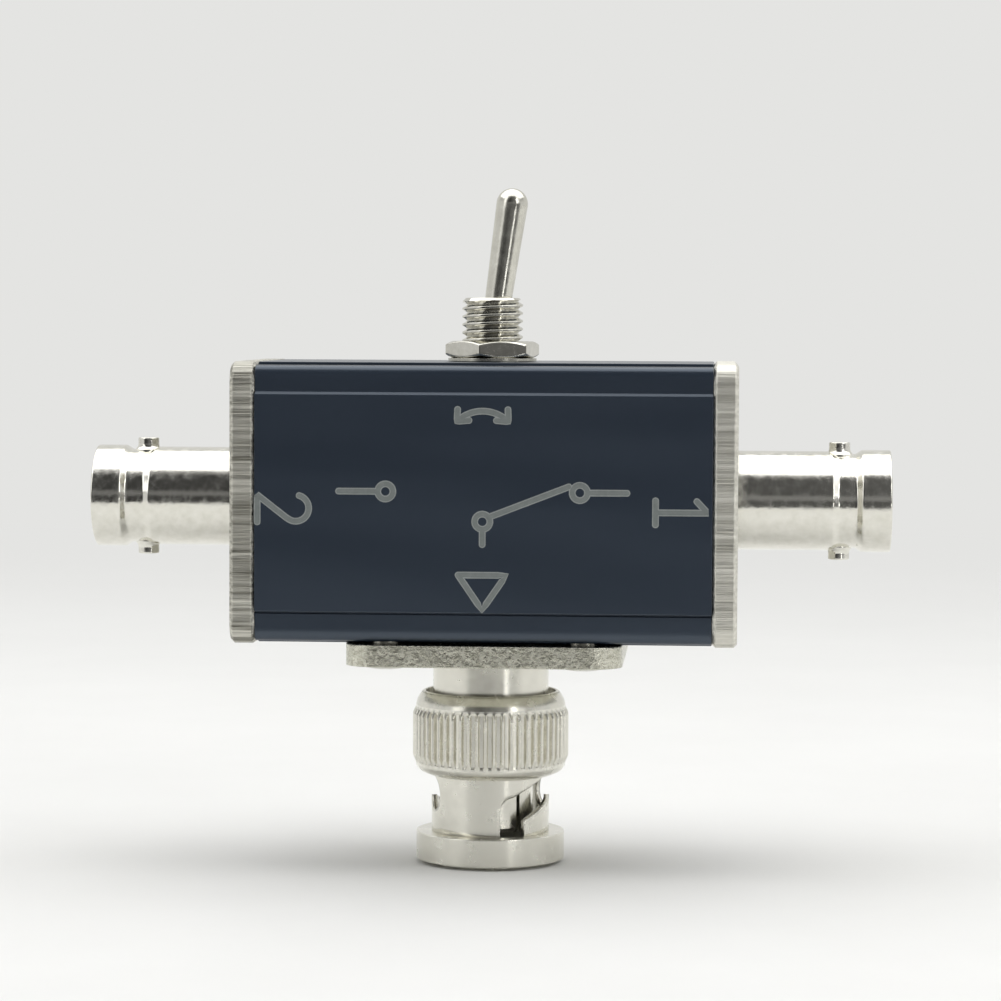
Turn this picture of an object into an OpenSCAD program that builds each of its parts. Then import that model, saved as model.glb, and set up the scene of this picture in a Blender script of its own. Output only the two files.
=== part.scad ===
// Two-way coaxial antenna switch: a square aluminium tube with a bayonet jack on each end plate,
// a bayonet plug below and a miniature toggle switch on top.
// Millimetres. X runs from jack to jack, Z is up, and the front of the box looks along -Y.
// The origin is on the plug's axis, at the front face of its coupling nut.

/* [Body] */
// Width and height of the square tube, over its raised flats
body_w = 26; // [25:0.5:30]
// Length of the tube between the end plates
body_l = 42; // [40:1:60]
// Wall of the tube, measured at a raised flat
body_wall = 1.8; // [1.6:0.1:2.2]
// Radius of the tube's four long edges
body_corner_r = 1.2; // [0.8:0.1:2]
// Width of the raised flat on each side
flat_w = 20.4; // [19:0.2:21]
// Height of the raised flat above the corner bands
flat_h = 0.3; // [0.15:0.05:0.4]

/* [End plates] */
// Thickness of an end plate
plate_t = 2.3; // [1.8:0.1:3]
// Corner radius of an end plate
plate_corner_r = 2; // [1:0.25:3]
// Chamfer along both rims of an end plate
plate_chamfer = 0.3; // [0.1:0.05:0.5]
// Distance from a plate's edge to the middle of a corner screw
screw_inset = 3.9; // [3.7:0.1:4.2]

/* [Jacks] */
// How far a jack stands out of its end plate
jack_reach = 14.4; // [13:0.2:17]
// Outer diameter of the jack behind its lugs
jack_tube_d = 9.36; // [9.2:0.02:9.5]
// Outer diameter of the jack's mouth
jack_mouth_d = 9.66; // [9.6:0.02:9.7]
// Length of the jack's mouth in front of the lug groove
jack_mouth_l = 2.85; // [2.4:0.05:3.2]
// Diameter at the bottom of the groove that holds the lugs
jack_groove_d = 9; // [8.9:0.05:9.15]
// Bore of the jack's outer conductor
jack_bore_d = 8.15; // [8.1:0.05:8.25]
// Depth of that bore, to the plane where the plug's sleeve stops
jack_bore_l = 8.4; // [8.2:0.1:9]
// Distance from the jack's mouth to the middle of its bayonet lugs
lug_setback = 4.8; // [4.6:0.1:5.2]
// Diameter of a bayonet lug
lug_d = 2; // [1.9:0.05:2.1]
// Size over both bayonet lugs
lug_span = 11.1; // [10.9:0.05:11.15]
// Diameter of the insulator inside a jack
jack_insulator_d = 4.7; // [4.4:0.1:5]
// Distance from the jack's mouth to the front of its insulator
insulator_recess = 3.4; // [3.2:0.1:4]
// Outer diameter of a jack's centre contact
jack_contact_d = 2.2; // [2:0.1:2.6]
// Bore of a jack's centre contact
socket_d = 1.4; // [1.36:0.02:1.5]
// Depth of the bore in the centre contact
socket_l = 5; // [4.6:0.2:6]
// Length of the solder tail that a jack's contact has inside the box
solder_tail_l = 5.4; // [4:0.2:6]

/* [Plug] */
// How far the plug's square flange stands back from the tube's sides
flange_inset = 0.2; // [0.1:0.05:0.5]
// Thickness of the plug's flange
flange_t = 2; // [1.6:0.1:2.4]
// Corner radius of the plug's flange
flange_corner_r = 3; // [2:0.25:3.5]
// Distance from the flange's edge to the middle of a corner screw
flange_hole_inset = 3.67; // [3.5:0.05:3.9]
// Diameter of the neck between the flange and the coupling nut
neck_d = 11; // [10.7:0.1:11.4]
// Length of the neck that shows between the flange and the coupling nut
neck_l = 3.3; // [2.6:0.1:5]
// Diameter of the spigot that locates the flange in the tube's lower wall
spigot_d = 8.8; // [8.4:0.1:9.2]
// Diameter of the plug's slotted outer contact
sleeve_d = 8.1; // [8:0.02:8.12]
// Wall of the outer contact
sleeve_wall = 0.5; // [0.4:0.05:0.6]
// Distance from the coupling nut's front face to the outer contact's front
sleeve_setback = 3.2; // [3.1:0.1:3.8]
// Diameter of the plug's centre pin
pin_d = 1.35; // [1.32:0.01:1.37]

/* [Coupling nut] */
// Length of the coupling nut
nut_l = 16.4; // [16.2:0.1:18]
// Diameter of the coupling nut over its knurl
knurl_d = 14.9; // [14.6:0.1:15.4]
// Number of straight knurl ribs
knurl_count = 56; // [40:2:64]
// Depth of the knurl
knurl_depth = 0.35; // [0.2:0.05:0.4]
// Length of the knurled band
knurl_l = 4.8; // [4.4:0.1:5.2]
// Diameter of the ring at the coupling nut's front
ring_d = 14.1; // [13.6:0.1:14.6]
// Length of that ring
ring_l = 2.65; // [2.4:0.05:2.9]
// Diameter of the waist, where the bayonet slots are
waist_d = 11.2; // [11.2:0.05:11.5]
// Bore that the mating jack slides into
nut_bore_d = 9.8; // [9.78:0.02:9.92]
// Width of a bayonet slot
slot_w = 2.5; // [2.3:0.05:2.6]
// Rise of a bayonet slot from its start to its locking hole
slot_rise = 2.6; // [2.2:0.1:2.7]
// Turn of a bayonet slot from its entry to its locking hole, in degrees
slot_turn = 85; // [80:1:92]
// Travel of the coupling nut against its spring washer
pull_travel = 0.6; // [0.4:0.05:0.65]

/* [Toggle switch] */
// Diameter over the bushing's thread
bushing_d = 5.8; // [5.7:0.05:6]
// Pitch of the bushing's thread
thread_pitch = 0.75; // [0.7:0.05:0.8]
// Height of the bushing above the box
bushing_reach = 6; // [5.4:0.1:7]
// Size across the flats of the hexagon nut
hex_af = 8; // [7.8:0.1:8.4]
// Thickness of the hexagon nut
hex_t = 1.6; // [1.4:0.1:2]
// Diameter of the toothed lock washer under the nut
lock_washer_d = 8.4; // [8.2:0.1:9]
// Thickness of the toothed lock washer
lock_washer_t = 0.3; // [0.25:0.05:0.4]
// Length of the lever above the bushing
lever_reach = 10.5; // [9.5:0.1:12]
// Diameter of the lever's round tip
lever_tip_d = 3; // [2.9:0.05:3.1]
// Diameter of the lever where it enters the bushing
lever_root_d = 2.5; // [2.4:0.05:2.55]
// Tilt of the lever to each side of upright, in degrees
lever_tilt = 8; // [6:0.5:8.5]
// Width of the moulded case
case_w = 6.9; // [6.6:0.1:7.9]
// Height of the moulded case
case_h = 9; // [8.8:0.1:9.2]
// Spacing of the three terminals
terminal_pitch = 4.7; // [4.6:0.05:4.8]
// Length of a terminal below the case
terminal_l = 4; // [3.5:0.1:4.5]

/* [Fasteners and wire] */
// Thread diameter of every screw
screw_d = 3; // [2.8:0.1:3.1]
// Head diameter of every screw
head_d = 5.5; // [5.2:0.1:5.6]
// Length of an end plate's screws
end_screw_l = 7; // [6:0.5:8]
// Height of the dome on the flange's screws
dome_h = 0.5; // [0.4:0.05:0.6]
// Diameter of the tinned connecting wires
wire_d = 0.8; // [0.6:0.05:0.9]

/* [Hidden] */
$fn = 64;
eps = 0.1;                    // how far a cut runs past the face it opens
slip = 0.02;                  // radial clearance of pieces that are pressed or screwed together
gap = 0.1;                    // radial clearance of pieces that slide or turn

// Heights, from the coupling nut's front face upwards
flange_z = nut_l + neck_l;
body_z = flange_z + flange_t;
mid_z = body_z + body_w / 2;
top_z = body_z + body_w;
roof_z = top_z - body_wall;   // underside of the tube's upper wall
floor_z = body_z + body_wall; // upper side of the tube's lower wall

// End plates and screws
plate_x = body_l / 2;
face_x = plate_x + plate_t;
screw_at = body_w / 2 - screw_inset;
boss_r = screw_d / 2 + 0.7;
head_depth = (head_d - screw_d) / 2;
flange_screw_l = flange_t + screw_inset - screw_d / 2 - 2 * slip - 0.2;
cross_w = 0.6;
cross_l = 2.8;
cross_depth = 0.9;

// Jacks
mouth_x = face_x + jack_reach;
jack_spigot_r = 4;
jack_rivet_r = 4.6;
jack_rivet_t = 0.8;
groove_ramp = 0.25;
groove_l = 2.15;
tube_ramp = 0.8;
mouth_flare = 0.15;
mouth_round = 0.2;
insulator_tail = 1.5;
contact_slit = 0.24;
solder_cup_r = 1;
solder_cup_bore_r = 0.6;
solder_cup_l = 2.4;

flange_w = body_w - 2 * flange_inset;
flange_pitch = flange_w - 2 * flange_hole_inset;

// Plug body, inside the coupling nut
cavity_depth = 4;
seat_z = nut_l - cavity_depth; // the step in the coupling nut that the core's shoulder sits on
shoulder_t = 1.2;
shoulder_top_z = seat_z + shoulder_t;
cavity_r = 6.2;
shoulder_r = cavity_r - gap;
core_r = 5;
core_top_gap = 0.7;
core_top_z = flange_z - core_top_gap;
seal_step = 0.2;
core_bore_r = 3.3;
neck_drop = 0.4;              // how far the neck reaches into the coupling nut
seal_z = seat_z - seal_step;  // the core's front face, where the gasket lies
core_front_r = nut_bore_d / 2 - gap;
gasket_t = 0.6;
sleeve_r = sleeve_d / 2;
sleeve_in_r = sleeve_r - sleeve_wall;
sleeve_slit_w = 0.4;
sleeve_slit_l = 6.3;
sleeve_seat_l = 1.5;
plug_face_depth = 5.4;
plug_face_z = sleeve_setback + plug_face_depth; // front of the plug's insulator
pin_recess = 0.8;
pin_tip_z = sleeve_setback + pin_recess;
pin_point = 0.6;
pin_collar_r = 1.1;
tail_reach = 0.8;
spigot_lip = 0.7;
wall_pass_z = floor_z + spigot_lip; // top of the flange's spigot, just inside the tube
tail_z = wall_pass_z + tail_reach;  // where the pin's solder cup begins
plug_tail_r = 2;

// Spring washer, thrust washer and retaining ring
spring_t = 0.3;
spring_waves = 3;
spring_h = pull_travel + spring_t + 0.05;
thrust_z = shoulder_top_z + spring_h + 2 * slip;
thrust_t = 0.5;
ring_z = thrust_z + thrust_t + slip;
ring_t = 0.5;
washer_gap = 0.2;
washer_in_r = core_r + washer_gap;
ring_bite = 0.3;
ring_out_r = cavity_r + ring_bite;
ring_gap_w = 1.5;

// Coupling nut
nut_lip_d = 11.6;
nut_lip_h = 0.35;
ring_top_z = nut_lip_h + ring_l;
ring_bevel = 0.1;
knurl_r = knurl_d / 2;
knurl_root_r = knurl_r - knurl_depth;
knurl_setback = 1.8;
knurl_top_z = nut_l - knurl_setback;
knurl_z = knurl_top_z - knurl_l;
waist_r = waist_d / 2;
bevel_h = 1.45;
waist_top_z = knurl_z - bevel_h;
nut_mouth_wall = 0.3;
nut_mouth_r = cavity_r + nut_mouth_wall;
bore_relief = 0.25;           // above its front ring the bore is this much wider in radius
slot_start_z = ring_top_z + slot_w - 0.2;
slot_margin = 0.15;           // the ramp's block is this much wider, because its section stays upright
slot_start_turn = -90 + 26;   // the entry is a little to the right of the front
slot_steps = 14;
slot_lock_drop = 1.4;         // the locking hole lies below the end of the ramp
slot_lock_r = slot_w / 2 + 0.15;
slot_curve = 1.6;             // above 1 the slot climbs fast at its start and levels out
lug_way_r = lug_span / 2 + gap;

// Toggle switch
bushing_r = bushing_d / 2;
thread_depth = 0.45;
bushing_root_r = bushing_r - thread_depth;
bushing_bore_r = 2.1;
bushing_top_z = top_z + bushing_reach;
spacer_t = 0.6;
spacer_r = 4.8;
frame_t = 0.5;
frame_top_z = roof_z - spacer_t;
case_top_z = frame_top_z - frame_t;
case_z = case_top_z - case_h;
bushing_seat_r = bushing_r - 0.4;
pivot_depth = 4;
pivot_z = bushing_top_z - pivot_depth;
pivot_pin_r = 0.4;
ball_r = bushing_bore_r - gap;
arm_r = 1.2;
arm_l = 7;
arm_bore_r = 0.8;
arm_bore_top = 2.6;
case_wall = 1;
case_floor_t = 1.8;
case_floor_z = case_z + case_floor_t;
case_gap = 0.15;
contact_w = 1;
case_l = 2 * (terminal_pitch + contact_w / 2 + case_gap + case_wall);
frame_leg_h = 6.4;
frame_tab = 0.9;
frame_tab_w = 2.4;
frame_margin = 0.3;
cradle_rise = 1.6;
cradle_z = case_floor_z + cradle_rise;
cradle_r = 0.5;
cradle_gap = 0.05;
cradle_w = 2.8;
rocker_t = 0.4;
rocker_w = 3;
rocker_saddle = 2;
rocker_end = 0.4;
rocker_l = 2 * (terminal_pitch + rocker_end);
rocker_top = cradle_r + cradle_gap + rocker_t;
plunger_r = arm_bore_r - 0.05;
plunger_tip = pivot_z - cradle_z - rocker_top - 0.1; // reach of the plunger below the pivot
plunger_l = 4.2;
spring_wire_r = 0.11;
spring_coil_r = arm_bore_r - 0.08 - spring_wire_r;
spring_turns = 5;
terminal_w = 2;
terminal_t = 0.8;
terminal_hole_r = 0.55;
contact_drop = tan(lever_tilt) * terminal_pitch;
terminal_eye = 1.3;
terminal_hole_z = case_z - terminal_l + terminal_eye;
terminal_root = 0.2;
contact_pad_w = 2.4;
touch_gap = 0.1;

// ---------------------------------------------------------------- shared shapes

module rounded_square(w, r) {
    square([w - 2 * r, w], center = true);
    square([w, w - 2 * r], center = true);
    for (x = [-1, 1], y = [-1, 1])
        translate([x * (w / 2 - r), y * (w / 2 - r)]) circle(r);
}

// A shape drawn in (Y, Z) and carried along X
module along_x(length) {
    rotate([90, 0, 90]) linear_extrude(length, center = true) children();
}

// Turns a piece that is built along +Z so that it points along +X or -X at the jacks' height
module on_side(side) {
    translate([0, 0, mid_z]) rotate([0, 90 * side, 0]) children();
}

module at_corners(pitch) {
    for (x = [-1, 1], y = [-1, 1]) translate([x * pitch / 2, y * pitch / 2, 0]) children();
}

// A hollow turned part between two heights
module tube(r_out, r_in, z0, z1) {
    difference() {
        translate([0, 0, z0]) cylinder(r = r_out, h = z1 - z0);
        translate([0, 0, z0 - eps]) cylinder(r = r_in, h = z1 - z0 + 2 * eps);
    }
}

module cross_recess() {
    for (a = [0, 90])
        rotate(a) translate([-cross_l / 2, -cross_w / 2, -cross_depth])
            cube([cross_l, cross_w, cross_depth + eps]);
}

// A countersunk screw with its head's rim at z = 0, pointing down
module flat_screw(length, dome = 0) {
    dome_r = dome > 0 ? (head_d * head_d / 4 + dome * dome) / (2 * dome) : 1;
    color("silver") difference() {
        union() {
            translate([0, 0, -head_depth]) cylinder(r1 = screw_d / 2, r2 = head_d / 2, h = head_depth);
            translate([0, 0, -length]) cylinder(d = screw_d, h = length - head_depth / 2);
            if (dome > 0) intersection() {
                translate([0, 0, dome - dome_r]) sphere(dome_r);
                cylinder(d = head_d, h = 2 * dome);
            }
        }
        translate([0, 0, dome]) cross_recess();
    }
}

// The hole that a countersunk screw goes into, from z = 0 downwards
module flat_screw_hole(length) {
    translate([0, 0, -head_depth]) cylinder(r1 = screw_d / 2 + slip, r2 = head_d / 2 + slip, h = head_depth);
    translate([0, 0, -length]) cylinder(r = screw_d / 2 + slip, h = length);
    translate([0, 0, -slip]) cylinder(r = head_d / 2 + slip, h = eps);
}

// A round bar swept along a list of points. The section's first direction is kept square to the
// aside vector, which no part of the path may follow.
module swept(path, r, aside, sides = 10) {
    n = len(path);
    rings = [
        for (i = [0 : n - 1])
            let (
                along = path[min(i + 1, n - 1)] - path[max(i - 1, 0)],
                u = cross(along, aside) / norm(cross(along, aside)),
                v = cross(u, along) / norm(along)
            )
            for (k = [0 : sides - 1])
                path[i] + r * (cos(k * 360 / sides) * u + sin(k * 360 / sides) * v)
    ];
    faces = concat(
        [[for (k = [0 : sides - 1]) sides - 1 - k], [for (k = [0 : sides - 1]) (n - 1) * sides + k]],
        [
            for (i = [0 : n - 2], k = [0 : sides - 1])
                let (m = (k + 1) % sides, b = i * sides, t = b + sides)
                each [[b + k, b + m, t + m], [b + k, t + m, t + k]]
        ]
    );
    polyhedron(rings, faces);
}

// Points on a smooth curve that leaves each point of a list towards the one after it
function smooth(p, steps = 6) = [
    for (i = [0 : len(p) - 2], k = [0 : steps - (i == len(p) - 2 ? 0 : 1)])
        let (
            t = k / steps,
            a = (p[min(i + 1, len(p) - 1)] - p[max(i - 1, 0)]) / 2.6,
            b = (p[min(i + 2, len(p) - 1)] - p[i]) / 2.6
        )
        (1 + 2 * t) * pow(1 - t, 2) * p[i] + t * pow(1 - t, 2) * a
            + t * t * (3 - 2 * t) * p[i + 1] + t * t * (t - 1) * b
];

// ---------------------------------------------------------------- box

// The hollow of the tube, with the four screw channels' walls left standing in its corners
module body_hollow() {
    difference() {
        square(body_w - 2 * body_wall, center = true);
        for (x = [-1, 1], y = [-1, 1]) translate([x * screw_at, y * screw_at]) {
            circle(boss_r);
            translate([x > 0 ? 0 : -screw_inset, y > 0 ? 0 : -screw_inset]) square(screw_inset);
        }
    }
}

module body_shell() {
    color("#2a3342") difference() {
        translate([0, 0, mid_z]) difference() {
            union() {
                along_x(body_l) rounded_square(body_w - 2 * flat_h, body_corner_r);
                for (a = [0 : 90 : 270]) rotate([a, 0, 0]) along_x(body_l) polygon([
                    [-flat_w / 2, body_w / 2], [flat_w / 2, body_w / 2],
                    [flat_w / 2 + flat_h, body_w / 2 - flat_h], [flat_w / 2 + flat_h, body_w / 2 - body_wall],
                    [-flat_w / 2 - flat_h, body_w / 2 - body_wall], [-flat_w / 2 - flat_h, body_w / 2 - flat_h]
                ]);
            }
            along_x(body_l + 2 * eps) body_hollow();
            for (y = [-1, 1], z = [-1, 1]) translate([0, y * screw_at, z * screw_at])
                along_x(body_l + 2 * eps) circle(screw_d / 2 + slip);
        }
        translate([0, 0, roof_z - eps]) cylinder(r = bushing_r + gap, h = body_wall + 2 * eps);
        translate([0, 0, body_z - eps]) cylinder(r = spigot_d / 2 + gap, h = body_wall + 2 * eps);
        translate([0, 0, body_z - eps]) at_corners(flange_pitch)
            cylinder(r = screw_d / 2 + slip, h = flange_screw_l - flange_t + slip + eps);
    }
}

// A plate lying on z = 0 with rounded corners and the same chamfer along both rims
module chamfered_plate(w, t, r, c) {
    for (a = [0, 90]) rotate(a) along_x(w - 2 * r) polygon([
        [-w / 2 + c, 0], [w / 2 - c, 0], [w / 2, c], [w / 2, t - c],
        [w / 2 - c, t], [-w / 2 + c, t], [-w / 2, t - c], [-w / 2, c]
    ]);
    for (x = [-1, 1], y = [-1, 1]) translate([x * (w / 2 - r), y * (w / 2 - r), 0])
        rotate_extrude() polygon([[0, 0], [r - c, 0], [r, c], [r, t - c], [r - c, t], [0, t]]);
}

module end_plate(side) {
    color("#a8a79c") on_side(side) difference() {
        translate([0, 0, plate_x]) chamfered_plate(body_w, plate_t, plate_corner_r, plate_chamfer);
        translate([0, 0, plate_x - eps]) cylinder(r = jack_spigot_r + slip, h = plate_t + 2 * eps);
        translate([0, 0, face_x]) at_corners(2 * screw_at) flat_screw_hole(plate_t + eps);
    }
}

module end_screws(side) {
    on_side(side) translate([0, 0, face_x]) at_corners(2 * screw_at) flat_screw(end_screw_l);
}

// ---------------------------------------------------------------- jacks

module jack_barrel(side) {
    color("#d9d8cc") on_side(side) {
        difference() {
            union() {
                translate([0, 0, mouth_x]) mirror([0, 0, 1]) rotate_extrude() polygon([
                    [0, 0], [jack_mouth_d / 2 - mouth_round, 0], [jack_mouth_d / 2, mouth_round],
                    [jack_mouth_d / 2, jack_mouth_l],
                    [jack_groove_d / 2, jack_mouth_l + groove_ramp],
                    [jack_groove_d / 2, jack_mouth_l + groove_l],
                    [jack_tube_d / 2, jack_mouth_l + groove_l + tube_ramp],
                    [jack_tube_d / 2, jack_reach], [jack_spigot_r, jack_reach],
                    [jack_spigot_r, jack_reach + plate_t],
                    [jack_rivet_r, jack_reach + plate_t],
                    [jack_rivet_r, jack_reach + plate_t + jack_rivet_t],
                    [0, jack_reach + plate_t + jack_rivet_t]
                ]);
                for (a = [0, 180]) rotate(a) translate([0, 0, mouth_x - lug_setback])
                    rotate([0, 90, 0]) cylinder(d = lug_d, h = lug_span / 2);
            }
            translate([0, 0, mouth_x - jack_bore_l]) cylinder(d = jack_bore_d, h = jack_bore_l + eps);
            translate([0, 0, mouth_x - mouth_flare])
                cylinder(r1 = jack_bore_d / 2, r2 = jack_bore_d / 2 + 2 * mouth_flare, h = 2 * mouth_flare);
            translate([0, 0, plate_x - jack_rivet_t - eps])
                cylinder(r = jack_insulator_d / 2 + slip, h = jack_reach + plate_t);
        }
    }
}

module jack_insulator(side) {
    color("#f0efe6") on_side(side) tube(jack_insulator_d / 2, jack_contact_d / 2 + slip,
        plate_x - jack_rivet_t - insulator_tail, mouth_x - insulator_recess);
}

module jack_contact(side) {
    front = mouth_x - insulator_recess;
    back = plate_x - jack_rivet_t - insulator_tail;
    color("#d6a94a") on_side(side) difference() {
        union() {
            translate([0, 0, back]) cylinder(d = jack_contact_d, h = front - back - eps, $fn = 40);
            translate([0, 0, back - solder_tail_l]) cylinder(r = solder_cup_r, h = solder_tail_l, $fn = 40);
        }
        translate([0, 0, front - socket_l]) cylinder(d = socket_d, h = socket_l, $fn = 32);
        for (a = [45, 135]) rotate(a)
            translate([-jack_contact_d, -contact_slit / 2, front - socket_l + 1])
                cube([2 * jack_contact_d, contact_slit, socket_l]);
        translate([0, 0, back - solder_tail_l - eps])
            cylinder(r = solder_cup_bore_r, h = solder_cup_l + eps, $fn = 24);
        translate([0, -solder_cup_r, back - solder_tail_l - eps])
            cube([2 * solder_cup_r, 2 * solder_cup_r, solder_cup_l / 2 + eps]);
    }
}

// ---------------------------------------------------------------- plug

module plug_flange() {
    color("#c9c8b8") difference() {
        union() {
            translate([0, 0, flange_z]) linear_extrude(flange_t) rounded_square(flange_w, flange_corner_r);
            translate([0, 0, nut_l - neck_drop]) cylinder(d = neck_d, h = neck_l + neck_drop + eps);
            translate([0, 0, flange_z]) cylinder(d = spigot_d, h = wall_pass_z - flange_z);
        }
        translate([0, 0, nut_l - neck_drop - eps])
            cylinder(r = core_r + slip, h = core_top_z - nut_l + neck_drop + eps + slip);
        translate([0, 0, core_top_z - eps]) cylinder(r = core_bore_r + slip, h = body_z - core_top_z + eps);
        translate([0, 0, body_z - eps]) cylinder(r = plug_tail_r + slip, h = wall_pass_z - body_z + 2 * eps);
        translate([0, 0, flange_z]) mirror([0, 0, 1]) at_corners(flange_pitch)
            flat_screw_hole(flange_t + eps);
    }
}

module flange_screws() {
    translate([0, 0, flange_z]) mirror([0, 0, 1]) at_corners(flange_pitch)
        flat_screw(flange_screw_l, dome_h);
}

module plug_core() {
    color("#d9d8cc") difference() {
        rotate_extrude() polygon([
            [core_bore_r + slip, seal_z], [core_front_r, seal_z], [core_front_r, seat_z + slip],
            [shoulder_r, seat_z + slip], [shoulder_r, shoulder_top_z], [core_r, shoulder_top_z],
            [core_r, core_top_z], [core_bore_r + slip, core_top_z]
        ]);
        translate([0, 0, seal_z - eps]) cylinder(r = sleeve_r + slip, h = sleeve_seat_l + eps);
    }
}

module plug_outer_contact() {
    color("#d9d8cc") difference() {
        rotate_extrude() polygon([
            [sleeve_in_r, sleeve_setback], [sleeve_r - 0.25, sleeve_setback],
            [sleeve_r, sleeve_setback + 0.4], [sleeve_r, seal_z + sleeve_seat_l - slip],
            [sleeve_in_r, seal_z + sleeve_seat_l - slip]
        ]);
        for (a = [44, 134]) rotate(a)
            translate([-2 * sleeve_r, -sleeve_slit_w / 2, sleeve_setback - eps])
                cube([4 * sleeve_r, sleeve_slit_w, sleeve_slit_l]);
    }
}

module plug_insulator() {
    color("#f0efe6") difference() {
        union() {
            translate([0, 0, plug_face_z]) cylinder(r = core_bore_r, h = body_z - plug_face_z - 2 * eps);
            translate([0, 0, plug_face_z]) cylinder(r = plug_tail_r, h = tail_z - plug_face_z);
        }
        translate([0, 0, plug_face_z - eps]) cylinder(r = pin_collar_r + slip, h = body_w, $fn = 40);
    }
}

module plug_pin() {
    color("#d6a94a") difference() {
        union() {
            translate([0, 0, plug_face_z]) cylinder(r = pin_collar_r, h = tail_z - plug_face_z, $fn = 40);
            translate([0, 0, tail_z]) cylinder(r = solder_cup_r, h = solder_cup_l, $fn = 40);
            translate([0, 0, pin_tip_z + pin_point]) cylinder(d = pin_d, h = plug_face_z - pin_tip_z, $fn = 40);
            translate([0, 0, pin_tip_z]) cylinder(d1 = pin_d / 3, d2 = pin_d, h = pin_point, $fn = 40);
        }
        translate([0, 0, tail_z + solder_cup_l / 2])
            cylinder(r = solder_cup_bore_r, h = solder_cup_l, $fn = 24);
    }
}

module plug_gasket() {
    color("#b9402c") tube(core_front_r - gap, sleeve_r + slip, seal_z - gasket_t - slip, seal_z - slip);
}

// A flat ring bent into three even waves: each section is the same small rectangle, raised and
// lowered by a cosine of the angle.
module spring_washer() {
    steps = 48;
    wave = (spring_h - spring_t) / 2;
    ring_points = [
        for (i = [0 : steps - 1], corner = [0 : 3])
            let (
                a = i * 360 / steps,
                r = corner == 0 || corner == 3 ? washer_in_r : shoulder_r - gap,
                z = shoulder_top_z + slip + wave * (1 - cos(spring_waves * a)) + (corner > 1 ? spring_t : 0)
            )
            [r * cos(a), r * sin(a), z]
    ];
    faces = [
        for (i = [0 : steps - 1], k = [0 : 3])
            let (j = (i + 1) % steps, m = (k + 1) % 4)
            each [[4 * i + k, 4 * i + m, 4 * j + m], [4 * i + k, 4 * j + m, 4 * j + k]]
    ];
    color("silver") polyhedron(ring_points, faces);
}

module thrust_washer() {
    color("silver") tube(shoulder_r - gap, washer_in_r, thrust_z, thrust_z + thrust_t);
}

module retaining_ring() {
    color("#8d8d88") difference() {
        tube(ring_out_r, washer_in_r, ring_z, ring_z + ring_t);
        translate([0, -ring_gap_w / 2, ring_z - eps]) cube([2 * ring_out_r, ring_gap_w, ring_t + 2 * eps]);
    }
}

// ---------------------------------------------------------------- coupling nut

function slot_height(share) = slot_start_z + slot_rise * (1 - pow(1 - share, slot_curve));

// The bayonet slot's ramp: a block whose section stays upright while it turns and climbs. Its inner
// and outer faces lie inside the bore and outside the waist.
module slot_ramp() {
    r_in = nut_bore_d / 2 - 1;
    r_out = waist_r + 1;
    half = slot_w / 2 + slot_margin;
    sections = [
        for (i = [0 : slot_steps])
            let (
                share = i / slot_steps,
                a = slot_start_turn + slot_turn * share,
                z = slot_height(share)
            )
            each [
                [r_in * cos(a), r_in * sin(a), z - half], [r_out * cos(a), r_out * sin(a), z - half],
                [r_out * cos(a), r_out * sin(a), z + half], [r_in * cos(a), r_in * sin(a), z + half]
            ]
    ];
    last = 4 * slot_steps;
    polyhedron(sections, concat(
        [[2, 1, 0], [3, 2, 0], [last, last + 1, last + 2], [last, last + 2, last + 3]],
        [
            for (i = [0 : slot_steps - 1], k = [0 : 3])
                let (m = (k + 1) % 4, b = 4 * i, t = 4 * i + 4)
                each [[b + k, b + m, t + m], [b + k, t + m, t + k]]
        ]
    ));
}

// A round way for a lug, bored from outside at a share of the slot's ramp
module slot_bore(share, drop, r) {
    for (a = [0, 180]) rotate(a + slot_start_turn + share * slot_turn)
        translate([nut_bore_d / 2 - 1, 0, slot_height(share) - drop])
            rotate([0, 90, 0]) cylinder(r = r, h = 3);
}

module slot_entry() {
    for (a = [0, 180]) rotate(a + slot_start_turn) translate([0, -slot_w / 2, -eps])
        cube([lug_way_r, slot_w, slot_start_z + eps]);
}

// The straight knurl: a star outline with flat-topped ribs
module knurl_outline() {
    polygon([
        for (i = [0 : knurl_count - 1], k = [0 : 3])
            let (
                a = (i + [0.02, 0.35, 0.6, 0.93][k]) * 360 / knurl_count,
                r = k < 2 ? knurl_r : knurl_root_r - 0.02
            )
            [r * cos(a), r * sin(a)]
    ]);
}

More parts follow.
